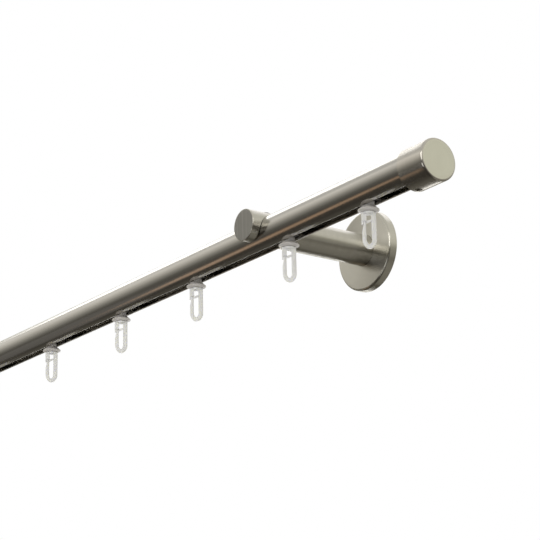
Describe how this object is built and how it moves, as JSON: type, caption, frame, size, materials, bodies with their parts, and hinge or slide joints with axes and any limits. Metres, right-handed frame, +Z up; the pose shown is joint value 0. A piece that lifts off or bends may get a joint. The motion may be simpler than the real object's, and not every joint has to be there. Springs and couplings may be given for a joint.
{
  "type": "curtain track",
  "caption": "Round inner-run curtain track: a tube slotted along its underside on wall brackets, with end caps and sliding swivel hook gliders.",
  "frame": {"origin": "on the wall face, behind the arm of the right-hand bracket, midway between that plate's two screw holes", "axes": "+X along the track to its right-hand end, +Y into the wall, +Z up"},
  "size_m": [0.9, 0.0945, 0.0626],
  "materials": {
    "tube": "satin drawn, stainless look",
    "cap": "satin, turned",
    "arm": "satin, turned, brushed face",
    "rosette": "satin, face turned in circles",
    "plate": "zinc plated",
    "screw": "nickel plated",
    "nylon": "moulded, slightly translucent"
  },
  "bodies": {
    "track": {"track_tube": "tube", "end_cap_right": "cap", "end_cap_left": "cap", "cap_grub_screws": "screw", "bracket_arm_right": "arm", "bracket_arm_left": "arm", "tube_screws": "screw", "wall_plate_right": "plate", "wall_plate_left": "plate", "arm_bolts": "screw", "rosette_right": "rosette", "rosette_left": "rosette", "rosette_grub_screws": "screw"},
    "runner_1": {"runner_1": "nylon"},
    "hook_1": {"hook_1": "nylon"},
    "runner_2": {"runner_2": "nylon"},
    "hook_2": {"hook_2": "nylon"},
    "runner_3": {"runner_3": "nylon"},
    "hook_3": {"hook_3": "nylon"},
    "runner_4": {"runner_4": "nylon"},
    "hook_4": {"hook_4": "nylon"},
    "runner_5": {"runner_5": "nylon"},
    "hook_5": {"hook_5": "nylon"},
    "runner_6": {"runner_6": "nylon"},
    "hook_6": {"hook_6": "nylon"},
    "runner_7": {"runner_7": "nylon"},
    "hook_7": {"hook_7": "nylon"},
    "runner_8": {"runner_8": "nylon"},
    "hook_8": {"hook_8": "nylon"},
    "runner_9": {"runner_9": "nylon"},
    "hook_9": {"hook_9": "nylon"},
    "runner_10": {"runner_10": "nylon"},
    "hook_10": {"hook_10": "nylon"}
  },
  "joints": [
    {"name": "runner_1_slide", "type": "slide", "parent": "track", "child": "runner_1", "axis": [1, 0, 0], "range_m": [-0.0296, 0.0319]},
    {"name": "hook_1_swivel", "type": "hinge", "parent": "runner_1", "child": "hook_1", "pos_m": [0.0943, -0.079, -0.01711], "axis": [0, 0, 1], "continuous": true},
    {"name": "runner_2_slide", "type": "slide", "parent": "track", "child": "runner_2", "axis": [1, 0, 0], "range_m": [-0.0406, 0.0296]},
    {"name": "hook_2_swivel", "type": "hinge", "parent": "runner_2", "child": "hook_2", "pos_m": [0.0225, -0.079, -0.01711], "axis": [0, 0, 1], "continuous": true},
    {"name": "runner_3_slide", "type": "slide", "parent": "track", "child": "runner_3", "axis": [1, 0, 0], "range_m": [-0.0364, 0.0406]},
    {"name": "hook_3_swivel", "type": "hinge", "parent": "runner_3", "child": "hook_3", "pos_m": [-0.0713, -0.079, -0.01711], "axis": [0, 0, 1], "continuous": true},
    {"name": "runner_4_slide", "type": "slide", "parent": "track", "child": "runner_4", "axis": [1, 0, 0], "range_m": [-0.0377, 0.0364]},
    {"name": "hook_4_swivel", "type": "hinge", "parent": "runner_4", "child": "hook_4", "pos_m": [-0.1567, -0.079, -0.01711], "axis": [0, 0, 1], "continuous": true},
    {"name": "runner_5_slide", "type": "slide", "parent": "track", "child": "runner_5", "axis": [1, 0, 0], "range_m": [-0.0403, 0.0377]},
    {"name": "hook_5_swivel", "type": "hinge", "parent": "runner_5", "child": "hook_5", "pos_m": [-0.2447, -0.079, -0.01711], "axis": [0, 0, 1], "continuous": true},
    {"name": "runner_6_slide", "type": "slide", "parent": "track", "child": "runner_6", "axis": [1, 0, 0], "range_m": [-0.0402, 0.0403]},
    {"name": "hook_6_swivel", "type": "hinge", "parent": "runner_6", "child": "hook_6", "pos_m": [-0.3378, -0.079, -0.01711], "axis": [0, 0, 1], "continuous": true},
    {"name": "runner_7_slide", "type": "slide", "parent": "track", "child": "runner_7", "axis": [1, 0, 0], "range_m": [-0.0403, 0.0402]},
    {"name": "hook_7_swivel", "type": "hinge", "parent": "runner_7", "child": "hook_7", "pos_m": [-0.4309, -0.079, -0.01711], "axis": [0, 0, 1], "continuous": true},
    {"name": "runner_8_slide", "type": "slide", "parent": "track", "child": "runner_8", "axis": [1, 0, 0], "range_m": [-0.0402, 0.0403]},
    {"name": "hook_8_swivel", "type": "hinge", "parent": "runner_8", "child": "hook_8", "pos_m": [-0.524, -0.079, -0.01711], "axis": [0, 0, 1], "continuous": true},
    {"name": "runner_9_slide", "type": "slide", "parent": "track", "child": "runner_9", "axis": [1, 0, 0], "range_m": [-0.0296, 0.0402]},
    {"name": "hook_9_swivel", "type": "hinge", "parent": "runner_9", "child": "hook_9", "pos_m": [-0.6171, -0.079, -0.01711], "axis": [0, 0, 1], "continuous": true},
    {"name": "runner_10_slide", "type": "slide", "parent": "track", "child": "runner_10", "axis": [1, 0, 0], "range_m": [-0.0318, 0.0296]},
    {"name": "hook_10_swivel", "type": "hinge", "parent": "runner_10", "child": "hook_10", "pos_m": [-0.6889, -0.079, -0.01711], "axis": [0, 0, 1], "continuous": true}
  ]
}
